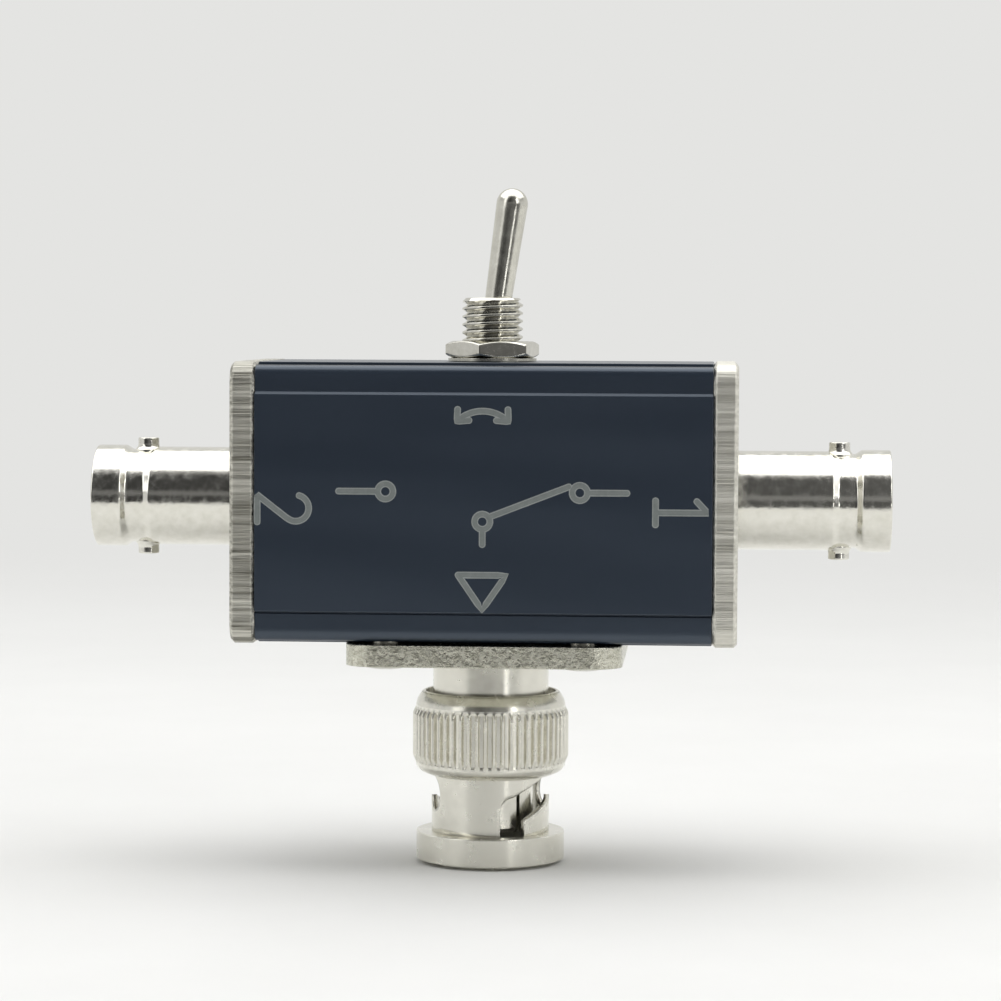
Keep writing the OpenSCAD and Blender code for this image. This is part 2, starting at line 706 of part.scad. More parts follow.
module coupling_nut() {
    color("#d9d8cc") difference() {
        union() {
            rotate_extrude() polygon([
                [0, 0], [nut_lip_d / 2, 0], [nut_lip_d / 2, nut_lip_h],
                [ring_d / 2 - ring_bevel, nut_lip_h], [ring_d / 2, nut_lip_h + ring_bevel],
                [ring_d / 2, ring_top_z - ring_bevel], [ring_d / 2 - ring_bevel, ring_top_z],
                [waist_r, ring_top_z], [waist_r, waist_top_z],
                [knurl_root_r - 1.1, waist_top_z + 0.15], [knurl_root_r - 0.35, waist_top_z + 0.5],
                [knurl_root_r - 0.1, waist_top_z + 0.8], [knurl_root_r, knurl_z],
                [knurl_root_r, knurl_top_z + 0.05], [knurl_root_r - 0.05, knurl_top_z + 0.6],
                [knurl_root_r - 0.2, knurl_top_z + 1.05], [knurl_root_r - 0.4, nut_l - 0.3],
                [nut_mouth_r, nut_l], [0, nut_l]
            ]);
            translate([0, 0, knurl_z]) linear_extrude(knurl_l) knurl_outline();
        }
        translate([0, 0, -eps]) cylinder(d = nut_bore_d, h = nut_l);
        translate([0, 0, ring_top_z]) cylinder(r = nut_bore_d / 2 + bore_relief, h = nut_l);
        translate([0, 0, -eps]) cylinder(r1 = nut_bore_d / 2 + 0.3 + eps, r2 = nut_bore_d / 2, h = 0.3 + eps);
        translate([0, 0, seat_z]) cylinder(r = cavity_r, h = nut_l);
        translate([0, 0, ring_z - 2 * slip]) cylinder(r = ring_out_r + 2 * slip, h = ring_t + 4 * slip);
        slot_entry();
        slot_bore(0, 0, slot_w / 2);
        for (a = [0, 180]) rotate(a) slot_ramp();
        slot_bore(1, slot_lock_drop, slot_lock_r);
    }
}

// ---------------------------------------------------------------- toggle switch

module keyway(r) {
    translate([-2 * bushing_r - r, -0.5, frame_top_z - eps]) cube([2 * bushing_r, 1, bushing_reach + body_w]);
}

module switch_bushing() {
    threads = floor((bushing_top_z - frame_top_z - 0.5) / thread_pitch);
    color("#cfcec2") difference() {
        union() {
            translate([0, 0, frame_top_z]) cylinder(r = bushing_r, h = bushing_top_z - frame_top_z - 0.35);
            translate([0, 0, bushing_top_z - 0.35])
                cylinder(r1 = bushing_r, r2 = bushing_r - 0.35, h = 0.35);
            translate([0, 0, case_top_z + slip]) cylinder(r = bushing_seat_r - slip, h = frame_t - slip);
        }
        translate([0, 0, case_top_z - eps]) cylinder(r = bushing_bore_r, h = body_w);
        for (i = [1 : threads]) translate([0, 0, bushing_top_z - 0.2 - i * thread_pitch])
            rotate_extrude() polygon([
                [bushing_root_r, -0.05], [bushing_root_r, 0.05],
                [bushing_r + eps, 0.37], [bushing_r + eps, -0.37]
            ]);
        keyway(bushing_root_r);
        translate([0, 0, pivot_z]) rotate([90, 0, 0])
            cylinder(r = pivot_pin_r + slip, h = 2 * bushing_root_r - 0.3, center = true, $fn = 24);
    }
}

module switch_nut() {
    bottom = top_z + lock_washer_t + slip;
    face_r = hex_af / 2 - 0.1;
    corner_r = hex_af / 2 / cos(30);
    color("#cfcec2") difference() {
        intersection() {
            translate([0, 0, bottom]) rotate(-104) cylinder(r = corner_r, h = hex_t, $fn = 6);
            translate([0, 0, bottom]) rotate_extrude() polygon([
                [0, 0], [face_r, 0], [corner_r + 0.1, 0.35], [corner_r + 0.1, hex_t - 0.35],
                [face_r, hex_t], [0, hex_t]
            ]);
        }
        translate([0, 0, bottom - eps]) cylinder(r = bushing_r + slip, h = hex_t + 2 * eps);
    }
}

module switch_lock_washer() {
    teeth = 10;
    tooth_in_r = bushing_r + 0.05;
    color("silver") difference() {
        tube(lock_washer_d / 2, tooth_in_r, top_z + slip, top_z + lock_washer_t);
        for (i = [0 : teeth - 1]) rotate(i * 360 / teeth)
            translate([tooth_in_r - eps, -0.3, top_z - eps]) cube([0.55 + eps, 0.6, 1]);
    }
}

module switch_spacer() {
    color("silver") difference() {
        tube(spacer_r, bushing_r + gap, frame_top_z + slip, roof_z - slip);
        translate([-2 * spacer_r, -0.2, frame_top_z - eps]) cube([spacer_r + 0.2, 0.4, 1]);
    }
}

module switch_frame() {
    plate_w = case_w - 2 * frame_margin;
    color("#b9bab4") difference() {
        union() {
            translate([-case_l / 2 - frame_t, -plate_w / 2, case_top_z])
                cube([case_l + 2 * frame_t, plate_w, frame_t]);
            for (s = [-1, 1]) translate([s * (case_l / 2 + frame_t / 2 + slip), 0, 0]) {
                translate([-frame_t / 2, -plate_w / 2, case_top_z - frame_leg_h])
                    cube([frame_t, plate_w, frame_leg_h + eps]);
                translate([s > 0 ? -frame_tab : 0, -frame_tab_w / 2, case_top_z - frame_leg_h])
                    cube([frame_tab, frame_tab_w, frame_t]);
            }
        }
        translate([0, 0, case_top_z - eps]) cylinder(r = bushing_seat_r, h = frame_t + 2 * eps);
    }
}

module switch_case() {
    tab_z = case_top_z - frame_leg_h;
    tab_depth = frame_tab - frame_t / 2 + gap;
    color("#2456a0") difference() {
        translate([-case_l / 2, -case_w / 2, case_z]) cube([case_l, case_w, case_h - slip]);
        translate([-case_l / 2 + case_wall, -case_w / 2 + case_wall, case_floor_z])
            cube([case_l - 2 * case_wall, case_w - 2 * case_wall, case_h]);
        for (x = [-1, 0, 1]) translate([x * terminal_pitch, 0, case_z + case_floor_t / 2])
            cube([terminal_t + 2 * slip, terminal_w + 2 * slip, case_floor_t + 2 * eps], center = true);
        for (s = [-1, 1]) translate([s * case_l / 2, 0, tab_z + frame_t / 2])
            cube([2 * tab_depth, frame_tab_w + 2 * gap, frame_t + 4 * slip], center = true);
    }
}

// Places a piece that is drawn upright about the pivot at the lever's resting tilt
module tilted() {
    translate([0, 0, pivot_z]) rotate([0, lever_tilt, 0]) children();
}

module switch_lever() {
    exit = bushing_top_z - pivot_z;
    tip_r = lever_tip_d / 2;
    tip = exit + lever_reach - tip_r;
    color("#dcdbcf") tilted() difference() {
        union() {
            sphere(ball_r);
            translate([0, 0, exit - 1]) cylinder(d1 = lever_root_d, d2 = lever_tip_d, h = tip - exit + 1);
            cylinder(d = lever_root_d, h = exit - 1);
            translate([0, 0, tip]) sphere(tip_r);
            translate([0, 0, -arm_l]) cylinder(r = arm_r, h = arm_l);
        }
        translate([0, 0, -arm_l - eps]) cylinder(r = arm_bore_r, h = arm_l - arm_bore_top + eps, $fn = 40);
        rotate([90, 0, 0]) cylinder(r = pivot_pin_r + gap / 2, h = 3 * ball_r, center = true, $fn = 32);
    }
}

module lever_pin() {
    color("#8d8d88") translate([0, 0, pivot_z]) rotate([90, 0, 0])
        cylinder(r = pivot_pin_r, h = 2 * bushing_root_r - 0.4, center = true, $fn = 24);
}

module lever_spring() {
    bottom = -plunger_tip + plunger_l + 0.02 + spring_wire_r;
    top = -arm_bore_top - 0.02 - spring_wire_r;
    turns = spring_turns * 12;
    color("silver") tilted() swept([
        for (i = [0 : turns])
            [spring_coil_r * cos(i * 30), spring_coil_r * sin(i * 30), bottom + (top - bottom) * i / turns]
    ], spring_wire_r, [0, 0, 1], 6);
}

module lever_plunger() {
    color("#efe9d8") tilted() {
        translate([0, 0, -plunger_tip + plunger_r]) cylinder(r = plunger_r, h = plunger_l - plunger_r, $fn = 40);
        translate([0, 0, -plunger_tip + plunger_r]) sphere(plunger_r, $fn = 40);
    }
}

// The seesaw contact, resting on the middle terminal's rounded top
module contact_rocker() {
    color("#d8d4c4") translate([0, 0, cradle_z]) rotate([0, -lever_tilt, 0]) difference() {
        union() {
            translate([-rocker_l / 2, -rocker_w / 2, rocker_top - rocker_t])
                cube([rocker_l, rocker_w, rocker_t]);
            translate([0, 0, cradle_r / 2]) linear_extrude(rocker_top - rocker_t)
                square([rocker_saddle, rocker_w], center = true);
        }
        rotate([90, 0, 0]) cylinder(r = cradle_r + cradle_gap, h = 2 * rocker_w, center = true, $fn = 32);
    }
}

module terminal_blade() {
    difference() {
        translate([-terminal_t / 2, -terminal_w / 2, case_z - terminal_l])
            cube([terminal_t, terminal_w, terminal_l + case_floor_t + terminal_root]);
        translate([0, 0, terminal_hole_z]) rotate([0, 90, 0])
            cylinder(r = terminal_hole_r, h = 2, center = true, $fn = 24);
    }
}

module terminal_outer(side) {
    pad_top = cradle_z + rocker_top - rocker_t - contact_drop - touch_gap;
    color("#d8d4c4") translate([side * terminal_pitch, 0, 0]) {
        terminal_blade();
        translate([-contact_w / 2, -contact_pad_w / 2, case_floor_z + slip])
            cube([contact_w, contact_pad_w, pad_top - case_floor_z - slip]);
    }
}

module terminal_common() {
    color("#d8d4c4") {
        terminal_blade();
        translate([-terminal_t / 2, -cradle_w / 2, case_floor_z + slip])
            cube([terminal_t, cradle_w, cradle_z - case_floor_z - slip]);
        translate([0, 0, cradle_z]) rotate([90, 0, 0])
            cylinder(r = cradle_r, h = cradle_w, center = true, $fn = 32);
    }
}

// ---------------------------------------------------------------- wiring

module wire_common() {
    cup_z = tail_z + solder_cup_l;
    low_z = case_z - terminal_l;
    aside = 2 * terminal_hole_r + terminal_t;
    color("#c9c6bb") swept(smooth([
        [0, 0, cup_z - solder_cup_l / 2 + slip], [0, 0, cup_z + (low_z - cup_z) / 6],
        [-aside / 2, 0, (cup_z + low_z) / 2], [-aside, 0, low_z + slip],
        [-aside + wire_d / 2, 0, terminal_hole_z], [terminal_t, 0, terminal_hole_z]
    ]), min(wire_d / 2, solder_cup_bore_r - slip), [0, 1, 0]);
}

// The lever leans to the port that it selects, and the rocker closes on the other side, so each
// outer terminal is wired across to the opposite jack. The two wires pass in front and behind.
module wire_cross(side) {
    cup_x = plate_x - jack_rivet_t - insulator_tail - solder_tail_l;
    rise = mid_z - terminal_hole_z;
    away = terminal_w / 2 + 2 * wire_d;
    color("#c9c6bb") swept(smooth([
        [-side * (terminal_pitch + terminal_t), 0, terminal_hole_z],
        [-side * (terminal_pitch - terminal_t), 0, terminal_hole_z],
        [-side * (terminal_pitch / 2), side * away * 0.7, terminal_hole_z - wire_d / 2],
        [side * wire_d / 2, side * away * 1.1, terminal_hole_z - wire_d / 2],
        [side * (terminal_pitch - terminal_t), side * away * 0.9, terminal_hole_z],
        [side * (cup_x - solder_cup_l), side * away * 0.2, mid_z - rise * 0.1],
        [side * (cup_x - solder_cup_l / 4), 0, mid_z],
        [side * (cup_x + solder_cup_l * 0.75), 0, mid_z]
    ]), min(wire_d / 2, solder_cup_bore_r - slip), [0, 0, 1]);
}

body_shell();
end_plate(-1);  // end_plate_left
end_plate(1);  // end_plate_right
end_screws(-1);  // end_screws_left
end_screws(1);  // end_screws_right
jack_barrel(-1);  // jack_barrel_left
jack_barrel(1);  // jack_barrel_right
jack_insulator(-1);  // jack_insulator_left
jack_insulator(1);  // jack_insulator_right
jack_contact(-1);  // jack_contact_left
jack_contact(1);  // jack_contact_right
plug_flange();
flange_screws();
plug_core();
plug_outer_contact();
plug_insulator();
plug_pin();
plug_gasket();
spring_washer();
thrust_washer();
retaining_ring();
coupling_nut();
switch_bushing();
switch_nut();
switch_lock_washer();
switch_spacer();
switch_frame();
switch_case();
switch_lever();
lever_pin();
lever_spring();
lever_plunger();
contact_rocker();
terminal_outer(-1);  // terminal_left
terminal_common();
terminal_outer(1);  // terminal_right
wire_common();
wire_cross(-1);  // wire_left
wire_cross(1);  // wire_right
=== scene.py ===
import bpy
import numpy as np
from mathutils import Matrix


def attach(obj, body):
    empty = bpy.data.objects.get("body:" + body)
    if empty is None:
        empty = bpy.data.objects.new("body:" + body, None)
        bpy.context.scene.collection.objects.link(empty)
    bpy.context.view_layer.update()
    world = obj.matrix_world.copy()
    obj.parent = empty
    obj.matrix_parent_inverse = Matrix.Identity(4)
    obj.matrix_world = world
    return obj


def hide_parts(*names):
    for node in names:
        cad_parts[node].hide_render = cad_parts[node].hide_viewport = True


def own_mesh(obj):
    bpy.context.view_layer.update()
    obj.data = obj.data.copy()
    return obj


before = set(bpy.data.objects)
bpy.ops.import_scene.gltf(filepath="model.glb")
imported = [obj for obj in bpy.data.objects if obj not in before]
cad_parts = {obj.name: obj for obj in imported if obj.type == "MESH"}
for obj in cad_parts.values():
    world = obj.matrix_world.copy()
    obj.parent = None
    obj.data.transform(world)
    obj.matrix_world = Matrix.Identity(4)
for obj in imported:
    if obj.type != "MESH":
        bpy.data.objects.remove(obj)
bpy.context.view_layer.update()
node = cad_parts
scene = bpy.context.scene
scene.view_settings.view_transform = "Standard"
MM = 0.001
TURN = 2 * np.pi

# Main sizes in millimetres, as in the part's source
MID_Z, TOP_Z = 34.7, 47.7  # the box's middle and its upper face
HALF, PLATE_X = 13.0, 21.0  # half the box's width, and the end plates' inner faces
MOUTH_X, FLANGE_Z = 37.7, 19.7  # the jacks' mouths, and the flange's underside
PIVOT_Z, BUSHING_TOP = 49.7, 53.7  # the lever's pin, and the upper end of the toggle's bushing
SKIN = HALF - 0.03  # the tube's flats, low enough that the marks on them stay within the box


# ---------------------------------------------------------------- meshes

def soften(corners, cuts, steps, closed=True):
    """A line through corners. Each corner is cut back by its own length on both sides and bridged by
    the parabola (1-t)^2 before + 2t(1-t) corner + t^2 after, and a guard point outside each end of
    the bridge keeps the straight stretches flat."""
    p = np.asarray(corners, float)
    cut = np.broadcast_to(np.asarray(cuts, float), len(p)).copy()
    if not closed:
        cut[[0, -1]] = 0
    back, ahead = np.roll(p, 1, 0) - p, np.roll(p, -1, 0) - p
    back /= np.maximum(np.linalg.norm(back, axis=1, keepdims=True), 1e-9)
    ahead /= np.maximum(np.linalg.norm(ahead, axis=1, keepdims=True), 1e-9)
    p, back, ahead, cut = p[:, None], back[:, None], ahead[:, None], cut[:, None, None]
    t = np.linspace(0, 1, steps)[None, :, None]
    start, end = p + cut * back, p + cut * ahead
    bridge = (1 - t) ** 2 * start + 2 * t * (1 - t) * p + t**2 * end
    guard = 1.3 * cut
    line = np.concatenate([p + guard * back, bridge, p + guard * ahead], axis=1)
    line = line.reshape(-1, p.shape[2])
    return np.vstack([line, line[:1]]) if closed else line


def grid_of(x, y, z):
    """One grid of points from three coordinates, each stretched over the rows or columns it lacks."""
    return np.stack(np.broadcast_arrays(x, y, z), -1)


def around(r, a, z):
    """Points round Z: x = r cos a, y = r sin a, z = z."""
    return grid_of(r * np.cos(a), r * np.sin(a), z)


def turned(profile, steps):
    """A profile of (radius, height) turned about Z: x = r cos a, y = r sin a, z = height."""
    r, z = np.asarray(profile, float).T[:, :, None]
    return around(r, np.linspace(0, TURN, steps + 1)[None, :], z)


def to_side(points, side):
    """Turns points built along +Z so that they run along +X or -X at the jacks' height."""
    x, y, z = np.moveaxis(points, -1, 0)
    return grid_of(side * z, y, MID_Z - side * x)


def piece(name, patches, finish, body="box", stands_for=(), sharp=34):
    """One object from grids of points (rows, columns, xyz). Neighbouring points make four-sided
    faces, points closer than half a micrometre are welded, so seams and poles close, and each
    patch whose faces enclose a negative volume is turned over, so that it faces outward. A piece
    of the set has no body."""
    points, quads, start = [], [], 0
    for grid in patches:
        rows, columns = grid.shape[:2]
        index = np.arange(rows * columns).reshape(rows, columns)
        q = np.stack([index[:-1, :-1], index[1:, :-1], index[1:, 1:], index[:-1, 1:]], -1)
        q, flat = q.reshape(-1, 4), grid.reshape(-1, 3)
        a, b, c, d = flat[q].transpose(1, 0, 2)
        volume = np.einsum("ij,ij->", a, np.cross(b, c)) + np.einsum("ij,ij->", a, np.cross(c, d))
        quads.append((q if volume > 0 else q[:, ::-1]) + start)
        points.append(flat)
        start += len(flat)
    points, quads = np.vstack(points), np.vstack(quads)
    half_micrometres = np.rint(points * 2000).astype(np.int64)
    _, first, where = np.unique(half_micrometres, axis=0, return_index=True, return_inverse=True)
    points, quads = points[first], where.reshape(-1)[quads]
    doubled = quads == np.roll(quads, -1, 1)
    whole = quads[doubled.sum(1) == 0]
    whole = whole[(whole[:, 0] != whole[:, 2]) & (whole[:, 1] != whole[:, 3])]
    folded = doubled.sum(1) == 1
    corners = quads[folded][~doubled[folded]].reshape(-1, 3)
    mesh = bpy.data.meshes.new(name)
    mesh.from_pydata((points * MM).tolist(), [], whole.tolist() + corners.tolist())
    mesh.update()
    mesh.shade_smooth()
    mesh.set_sharp_from_angle(angle=np.radians(sharp))
    mesh.materials.append(finish)
    made = bpy.data.objects.new(name, mesh)
    scene.collection.objects.link(made)
    if body:
        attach(made, body)
    if stands_for:
        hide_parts(*stands_for)
    return made


# ---------------------------------------------------------------- materials

EVEN = (1, 1, 1)  # a pattern that isn't drawn out along any axis
SMOOTH = {"interpolation_type": "SMOOTHSTEP"}


def linear(code):
    """An sRGB hex colour as a linear one with full cover."""
    s = np.array([int(code[i : i + 2], 16) for i in (1, 3, 5)]) / 255
    return (*np.where(s <= 0.04045, s / 12.92, ((s + 0.055) / 1.055) ** 2.4), 1.0)


def add(tree, kind, settings=None, sockets=None):
    """Adds a shader node, sets its own values, and gives each named socket a number or a link."""
    made = tree.nodes.new("ShaderNode" + kind)
    for key, value in (settings or {}).items():
        setattr(made, key, value)
    for key, value in (sockets or {}).items():
        if isinstance(value, bpy.types.NodeSocket):
            tree.links.new(value, made.inputs[key])
        else:
            made.inputs[key].default_value = value
    return made


def material(name, colours, rough, metallic=0.0, patch=2.0, layers=(), edge=0.0, streak=EVEN,
             spread_along=None, octaves=5, **shader):
    """A surface whose colour runs between two hex values and whose roughness runs between two
    numbers, both over a cloudy noise of the given patch size in millimetres, drawn out where a streak
    value is below 1. Each layer of relief is a noise of (size in mm, depth in mm, stretch per
    axis). edge is the radius in millimetres that catches light along a hard edge. spread_along is
    the axis of a turned part: its tool marks run round that axis and spread highlights along it
    on the sides, and outward on the ends. octaves is how many finer noises the cloud adds up."""
    made = bpy.data.materials.new(name)
    made.use_nodes = True
    tree = made.node_tree
    tree.nodes.clear()
    place = add(tree, "TexCoord").outputs["Object"]
    drawn = add(tree, "Mapping", None,
                {"Vector": place, "Scale": [k / (patch * MM) for k in streak]})
    cloud = add(tree, "TexNoise", None, {"Vector": drawn.outputs["Vector"], "Scale": 1,
                                         "Detail": octaves, "Roughness": 0.6})
    # nearly all of a noise lies between 0.3 and 0.7
    amount = {"Value": cloud.outputs["Fac"], "From Min": 0.3, "From Max": 0.7}
    span = add(tree, "MapRange", None, amount)
    worn = add(tree, "MapRange", None, {**amount, "To Min": rough[0], "To Max": rough[1]})
    # a colour mix takes its share at socket 0 and its colours at 6 and 7, and gives them at 2
    tint = add(tree, "Mix", {"data_type": "RGBA"},
               {0: span.outputs["Result"], 6: linear(colours[0]), 7: linear(colours[1])})
    surface = {"Base Color": tint.outputs[2], "Roughness": worn.outputs["Result"],
               "Metallic": metallic, **shader}
    normal = None
    if edge:
        normal = add(tree, "Bevel", {"samples": 6}, {"Radius": edge * MM}).outputs["Normal"]
    for size, depth, stretch in layers:
        spread = add(tree, "Mapping", None,
                     {"Vector": place, "Scale": [k / (size * MM) for k in stretch]})
        relief = add(tree, "TexNoise", None, {"Vector": spread.outputs["Vector"], "Scale": 1,
                                              "Detail": 4, "Roughness": 0.65})
        sockets = {"Height": relief.outputs["Fac"], "Distance": depth * MM, "Strength": 1.0}
        if normal:
            sockets["Normal"] = normal
        normal = add(tree, "Bump", None, sockets).outputs["Normal"]
    if normal:
        surface["Normal"] = normal
    if spread_along is not None:
        # outward from the axis plus along it: the sides keep the second, the ends the first
        axis = np.eye(3)[spread_along]
        outward = add(tree, "VectorMath", {"operation": "MULTIPLY"}, {0: place, 1: 200 * (1 - axis)})
        both = add(tree, "VectorMath", {"operation": "ADD"}, {0: outward.outputs[0], 1: axis})
        surface["Tangent"] = both.outputs[0]
    shade = add(tree, "BsdfPrincipled", None, surface)
    add(tree, "OutputMaterial", None, {"Surface": shade.outputs["BSDF"]})
    return made


# A pixel of the main picture covers about 0.095 mm. Real tool marks, pits and grain are finer than
# that on nearly every piece, so the finest of each pattern is drawn 0.1 to 0.25 mm apart to show.

# Bright nickel over turned brass: mirror-like, slightly warm, with small pits and faint tool lines
nickel_x = material("bright_nickel_on_jack", ("#dad8ce", "#eae8e0"), (0.02, 0.27), 1.0, 0.8,
                    [(0.4, 0.009, EVEN), (0.12, 0.0016, (1, 0.4, 0.4))])
# The same plating on coarser turning: the grooves draw every highlight out along the axis
nickel_z = material("bright_nickel_on_turned_plug", ("#dcdad0", "#edebe1"), (0.22, 0.29), 1.0, 1.6,
                    [(0.9, 0.0018, EVEN), (0.13, 0.0007, (0.15, 0.15, 1))], spread_along=2,
                    Anisotropic=0.7)
# The toggle's small parts: bright nickel again, nearly a mirror
nickel_fine = material("bright_nickel_on_toggle", ("#c2c0b6", "#d8d6cd"), (0.04, 0.09), 1.0, 0.9,
                       [(0.6, 0.003, EVEN), (0.1, 0.0005, EVEN)])
# Polished nickel, rubbed by use: soft mirrored bands, slightly wavy along the lever
nickel_lever = material("polished_nickel_on_lever", ("#c9c7bd", "#dddbd1"), (0.14, 0.24), 1.0, 1.2,
                        [(0.4, 0.004, EVEN), (0.1, 0.001, EVEN)])
# Nickel on a die cast flange: tumbled grain a quarter of a millimetre across breaks the reflections
cast_nickel = material("nickel_on_cast_flange", ("#aaa999", "#e4e2d5"), (0.16, 0.34), 1.0, 0.35,
                       [(0.55, 0.085, EVEN), (0.24, 0.028, EVEN)], edge=0.2)


def sawn(name, colours, lines, fine):
    """Sawn and nickelled plate: saw lines 0.2 to 0.5 mm apart run across each edge, turn from bright
    to dull between one line and the next, and spread light up and down on the front and back."""
    made = material(name, colours, (0.34, 0.5), 1.0, 0.4,
                    [(0.7, lines, (0.02, 1, 1)), (0.25, fine, (0.08, 1, 1))], edge=0.2,
                    streak=(0.03, 1, 1), Anisotropic=0.6)
    tree = made.node_tree
    upright = add(tree, "CombineXYZ", None, {1: 1.0, 2: 1.0}).outputs[0]
    tree.links.new(upright, tree.nodes["Principled BSDF"].inputs["Tangent"])
    return made


# The left plate's saw lines are coarser than the right plate's. The right plate's colours are painted
# lighter, a painted highlight for light falling from the right.
sawn_left = sawn("coarse_sawn_nickelled_plate", ("#68665b", "#e6e4da"), 0.26, 0.04)
# painted highlight: this plate's colours are paler than the left plate's, standing in for light from
# the right
sawn_right_painted_lighter = sawn("fine_sawn_plate_painted_lighter", ("#c9c7bc", "#f1efe6"), 0.15, 0.02)
# Satin anodised extrusion: dark slate blue under a hard clear skin, which mirrors a little more
# than plastic does and cools what it mirrors. The draw lines along the tube are faint, and its
# cloud is one smooth noise, because finer ones show as jagged streaks.
anodised = material("satin_anodised_extrusion", ("#232b37", "#262e3a"), (0.28, 0.32), 0.0, 3.0,
                    [(0.3, 0.0014, (0.03, 1, 1)), (0.12, 0.0006, EVEN)], streak=(0.15, 1, 1),
                    octaves=0, IOR=1.76, **{"Specular Tint": linear("#e2f0ff")})
# Plated steel hardware: bright but softer than nickel on brass
plated_steel = material("plated_steel_hardware", ("#b5b3a8", "#d2d0c6"), (0.16, 0.3), 1.0, 0.8,
                        [(0.2, 0.003, EVEN)], edge=0.06)
# Turned fluoroplastic: white and waxy, with a soft sheen
fluoroplastic = material("turned_fluoroplastic", ("#e9e8df", "#f2f1ea"), (0.3, 0.42), 0.0, 1.0,
                         [(0.15, 0.002, EVEN)])
# Gold plate on a turned contact: warm, bright and smooth
gold = material("gold_plate_on_contact", ("#cf9f45", "#e3b75a"), (0.14, 0.26), 1.0, 0.5,
                [(0.1, 0.001, EVEN)])
# Moulded silicone: brick red, matt and even
silicone = material("moulded_silicone_seal", ("#a8382a", "#b8442f"), (0.45, 0.6), 0.0, 0.6,
                    [(0.2, 0.004, EVEN)])
# Moulded case plastic: strong blue with the mould's fine satin
moulding = material("moulded_case_plastic", ("#1f4c94", "#2a5cab"), (0.35, 0.5), 0.0, 1.0,
                    [(0.12, 0.003, EVEN)])
# Natural nylon: cream, slightly waxy
nylon = material("natural_nylon", ("#e6dfc9", "#efe9d8"), (0.35, 0.5), 0.0, 0.5,
                 [(0.1, 0.002, EVEN)])
# Silver plate on stamped contacts: pale and warm, softer than nickel
silver_plate = material("silver_plate_on_contact", ("#cfcbbb", "#e2dfd2"), (0.2, 0.35), 1.0, 0.6,
                        [(0.15, 0.003, EVEN)])
# Hot-tinned copper wire: grey and bright, slightly uneven where the tin ran
tinned = material("tinned_copper_wire", ("#bdbab0", "#d8d6cf"), (0.22, 0.4), 1.0, 0.8,
                  [(0.3, 0.006, EVEN)])
# Laser marking: matt grey with a paler rim where the beam lifted the dye
mark_fill = material("matt_grey_marking", ("#747a79", "#7f8583"), (0.55, 0.7), 0.0, 0.4,
                     [(0.1, 0.004, EVEN)])
mark_rim = material("pale_rim_of_marking", ("#8e9391", "#999e9c"), (0.45, 0.6), 0.0, 0.4,
                    [(0.1, 0.004, EVEN)])

FINISHES = [
    (sawn_left, ["end_plate_left"]),
    (sawn_right_painted_lighter, ["end_plate_right"]),
    (anodised, ["body_shell"]),
    (nickel_x, ["jack_barrel_left", "jack_barrel_right"]),
    (nickel_z, ["plug_core", "plug_outer_contact", "coupling_nut", "switch_bushing", "switch_nut",
                "switch_lever"]),
    (cast_nickel, ["plug_flange"]),
    (plated_steel, ["end_screws_left", "end_screws_right", "flange_screws", "spring_washer",
                    "thrust_washer", "retaining_ring", "switch_lock_washer", "switch_spacer",
                    "switch_frame", "lever_pin", "lever_spring"]),
    (fluoroplastic, ["jack_insulator_left", "jack_insulator_right", "plug_insulator"]),
    (gold, ["jack_contact_left", "jack_contact_right", "plug_pin"]),
    (silicone, ["plug_gasket"]),
    (moulding, ["switch_case"]),
    (nylon, ["lever_plunger"]),
    (silver_plate, ["contact_rocker", "terminal_left", "terminal_common", "terminal_right"]),
    (tinned, ["wire_common", "wire_left", "wire_right"]),
]
for finish, names in FINISHES:
    for name in names:
        part = node[name]
        part.data.materials.clear()
        part.data.materials.append(finish)


# ---------------------------------------------------------------- box

def body_tube():
    """The tube's section is a square with a raised flat on each side, a fine groove along one edge
    of each flat, and round corners, drawn once and turned in quarters. It is carried along X over
    the outside, across the sawn ends, which are cut back a little, and back through the inside."""
    low, groove, wall = 12.7, 0.18, 1.8
    across = np.array([-10.12, -10.08, -9.94, -9.9, 10.02, 10.28, low])
    out = np.array([low, low - groove, low - groove, SKIN, SKIN, low, low])
    quarter = np.arange(4)[:, None] * TURN / 4
    c, s = np.cos(quarter), np.sin(quarter)
    loop = np.stack([c * across + s * out, c * out - s * across], -1).reshape(-1, 2)
    y, z = soften(loop, np.tile([0.05, 0.03, 0.03, 0.07, 0.09, 0.07, 1.0], 4), 7).T
    # each station along the tube is a share of half its length and a depth below the skin
    stations = np.array([[-1, 0.07], [-0.9966, 0], [-0.99, 0], [0.99, 0], [0.9966, 0], [1, 0.07],
                         [1, wall], [-1, wall], [-1, 0.07]])
    share, depth = stations.T[:, :, None]
    scale = 1 - depth / HALF
    grid = grid_of(share * PLATE_X, scale * y, MID_Z + scale * z)
    piece("body_tube", [grid], anodised, stands_for=["body_shell"])


